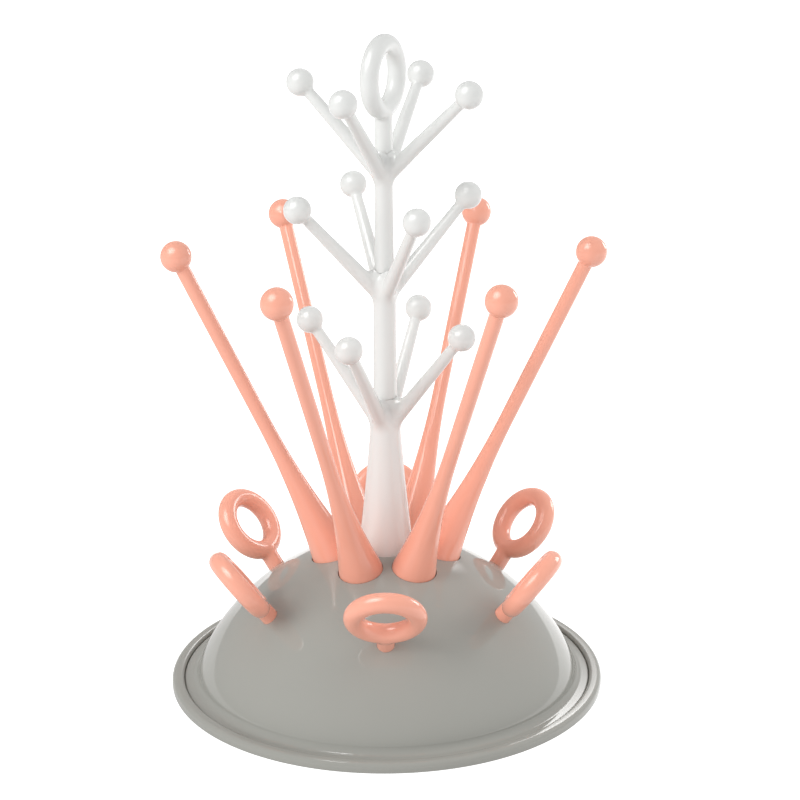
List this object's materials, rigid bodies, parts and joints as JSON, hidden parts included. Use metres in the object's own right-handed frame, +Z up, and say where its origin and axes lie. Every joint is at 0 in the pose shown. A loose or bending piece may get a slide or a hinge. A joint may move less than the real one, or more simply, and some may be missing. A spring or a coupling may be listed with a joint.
{
  "type": "baby bottle drying rack",
  "caption": "Round drying rack for baby bottles: a domed cover on a rimmed drip tray, slanting arms with trumpet feet and ball tips, rings on stems and a tiered tree with a ring on top",
  "frame": {"origin": "centre of the circle the rack stands on, at the height of that surface", "axes": "+Z up along the tree, front of the rack at -Y, the rack's right seen from the front at +X"},
  "size_m": [0.24, 0.24, 0.3603],
  "materials": {
    "tray_grey": "moulded, glossy warm grey",
    "dome_grey": "moulded, high gloss warm grey",
    "coral": "moulded, glossy coral",
    "white": "moulded, satin-gloss white",
    "foot_rubber": "matt pad"
  },
  "bodies": {
    "base": {"drip_tray": "tray_grey", "foot_1": "foot_rubber", "foot_2": "foot_rubber", "foot_3": "foot_rubber", "foot_4": "foot_rubber"},
    "dome": {"dome": "dome_grey"},
    "arm_1": {"bottle_arm_1": "coral"},
    "arm_2": {"bottle_arm_2": "coral"},
    "arm_3": {"bottle_arm_3": "coral"},
    "arm_4": {"bottle_arm_4": "coral"},
    "arm_5": {"bottle_arm_5": "coral"},
    "arm_6": {"bottle_arm_6": "coral"},
    "ring_1": {"accessory_ring_1": "coral"},
    "ring_2": {"accessory_ring_2": "coral"},
    "ring_3": {"accessory_ring_3": "coral"},
    "ring_4": {"accessory_ring_4": "coral"},
    "ring_5": {"accessory_ring_5": "coral"},
    "ring_6": {"accessory_ring_6": "coral"},
    "tree_base": {"tree_lower": "white"},
    "tree_mid": {"tree_middle": "white"},
    "tree_top": {"tree_upper": "white"},
    "finger_ring": {"top_ring": "white"}
  },
  "joints": [
    {"name": "dome_lift", "type": "slide", "parent": "base", "child": "dome", "axis": [0, 0, 1], "range_m": [0, 0.06]},
    {"name": "arm_1_pull", "type": "slide", "parent": "dome", "child": "arm_1", "axis": [0.2268, -0.3657, 0.9027], "range_m": [0, 0.04]},
    {"name": "arm_2_pull", "type": "slide", "parent": "dome", "child": "arm_2", "axis": [0.4301, 0.0135, 0.9027], "range_m": [0, 0.04]},
    {"name": "arm_3_pull", "type": "slide", "parent": "dome", "child": "arm_3", "axis": [0.2034, 0.3793, 0.9027], "range_m": [0, 0.04]},
    {"name": "arm_4_pull", "type": "slide", "parent": "dome", "child": "arm_4", "axis": [-0.2268, 0.3657, 0.9027], "range_m": [0, 0.04]},
    {"name": "arm_5_pull", "type": "slide", "parent": "dome", "child": "arm_5", "axis": [-0.4301, -0.0135, 0.9027], "range_m": [0, 0.04]},
    {"name": "arm_6_pull", "type": "slide", "parent": "dome", "child": "arm_6", "axis": [-0.2034, -0.3793, 0.9027], "range_m": [0, 0.04]},
    {"name": "ring_1_pull", "type": "slide", "parent": "dome", "child": "ring_1", "axis": [0, -0.6184, 0.7859], "range_m": [0, 0.03]},
    {"name": "ring_2_pull", "type": "slide", "parent": "dome", "child": "ring_2", "axis": [0.5356, -0.3092, 0.7859], "range_m": [0, 0.03]},
    {"name": "ring_3_pull", "type": "slide", "parent": "dome", "child": "ring_3", "axis": [0.5356, 0.3092, 0.7859], "range_m": [0, 0.03]},
    {"name": "ring_4_pull", "type": "slide", "parent": "dome", "child": "ring_4", "axis": [0, 0.6184, 0.7859], "range_m": [0, 0.03]},
    {"name": "ring_5_pull", "type": "slide", "parent": "dome", "child": "ring_5", "axis": [-0.5356, 0.3092, 0.7859], "range_m": [0, 0.03]},
    {"name": "ring_6_pull", "type": "slide", "parent": "dome", "child": "ring_6", "axis": [-0.5356, -0.3092, 0.7859], "range_m": [0, 0.03]},
    {"name": "tree_lift", "type": "slide", "parent": "dome", "child": "tree_base", "axis": [0, 0, 1], "range_m": [0, 0.06]},
    {"name": "middle_tier_lift", "type": "slide", "parent": "tree_base", "child": "tree_mid", "axis": [0, 0, 1], "range_m": [0, 0.04]},
    {"name": "upper_tier_lift", "type": "slide", "parent": "tree_mid", "child": "tree_top", "axis": [0, 0, 1], "range_m": [0, 0.04]},
    {"name": "top_ring_lift", "type": "slide", "parent": "tree_top", "child": "finger_ring", "axis": [0, 0, 1], "range_m": [0, 0.03]}
  ]
}
